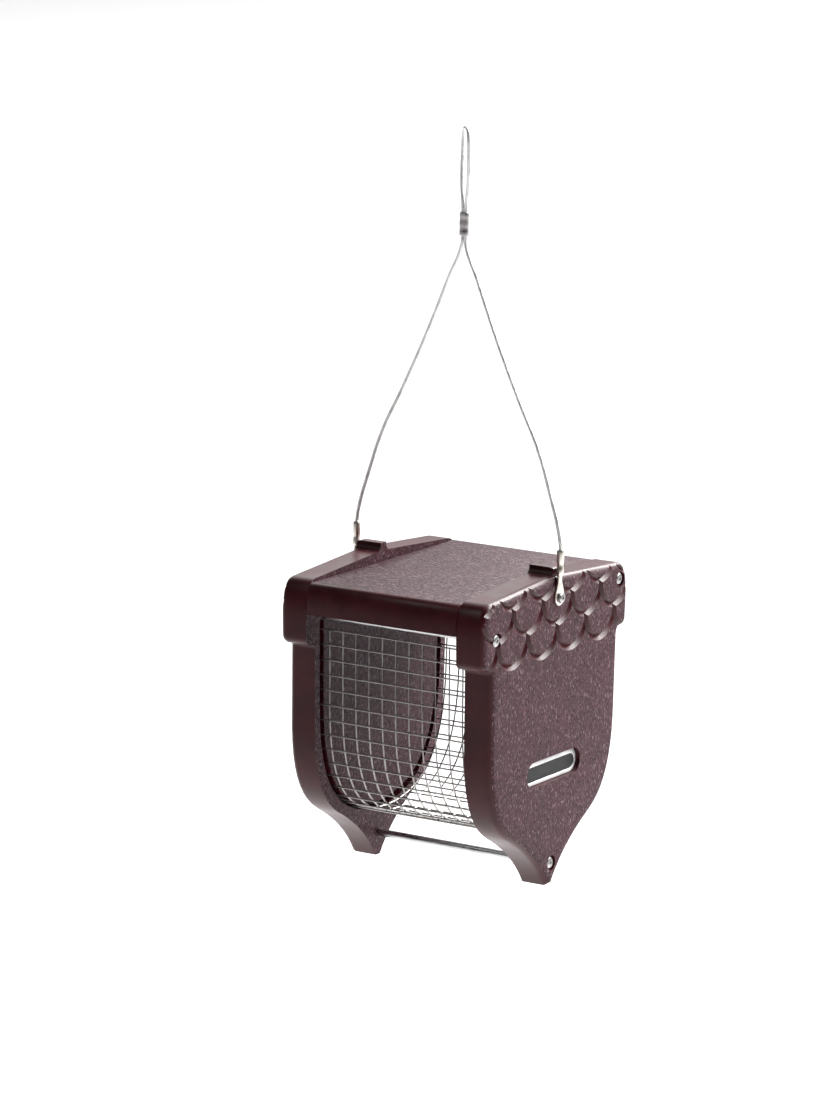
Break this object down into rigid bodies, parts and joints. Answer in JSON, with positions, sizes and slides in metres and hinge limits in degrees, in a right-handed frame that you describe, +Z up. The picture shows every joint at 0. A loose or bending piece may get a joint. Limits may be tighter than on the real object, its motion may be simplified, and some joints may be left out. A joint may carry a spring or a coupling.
{
  "type": "hanging bird feeder",
  "caption": "Acorn-shaped hanging bird feeder: plastic side boards with a carved cap, hinged lid board, wire mesh basket, tie rods and a coated hanging cable.",
  "frame": {"origin": "inside the top of the cable's loop, where it rests on a hook", "axes": "+Z up, +X towards the side board with the name plate, -Y towards the front, where the lid opens"},
  "size_m": [0.1526, 0.175, 0.4639],
  "materials": {
    "side_board": "brushed mauve-brown recycled plastic board with fine pale flecks; smooth darker red-brown machined edges",
    "roof_board": "brushed grey-brown recycled plastic board, grain along the board",
    "wire_mesh": null,
    "rod": "drawn steel rod, satin",
    "screw": "stainless steel pan-head screw with a cross recess",
    "terminal": "tinned crimp terminal, bright",
    "sleeve": "aluminium ferrule, satin with crimp marks",
    "cable": "twisted steel wire rope under a clear coating",
    "name_plate": "plain dark plate with a pale raised border and bar, no lettering"
  },
  "bodies": {
    "hanger": {"hanger_cable": "cable", "crimp_sleeve": "sleeve", "ring_terminal_left": "terminal", "ring_terminal_right": "terminal"},
    "housing": {"side_panel_left": "side_board", "side_panel_right": "side_board", "mesh_basket": "wire_mesh", "front_tie_rod": "rod", "perch_rod": "rod", "tie_rod_screw_left": "screw", "tie_rod_screw_right": "screw", "perch_screw_left": "screw", "perch_screw_right": "screw", "terminal_screw_left": "screw", "terminal_screw_right": "screw", "name_plate": "name_plate"},
    "lid": {"roof_lid": "roof_board", "lid_pivot_screw_left": "screw", "lid_pivot_screw_right": "screw"}
  },
  "joints": [
    {"name": "terminal_swing", "type": "hinge", "parent": "hanger", "child": "housing", "pos_m": [0, 0, -0.28], "axis": [1, 0, 0], "range_deg": [-10, 10]},
    {"name": "lid_hinge", "type": "hinge", "parent": "housing", "child": "lid", "pos_m": [0, 0.077, -0.2815], "axis": [-1, 0, 0], "range_deg": [0, 40]}
  ]
}
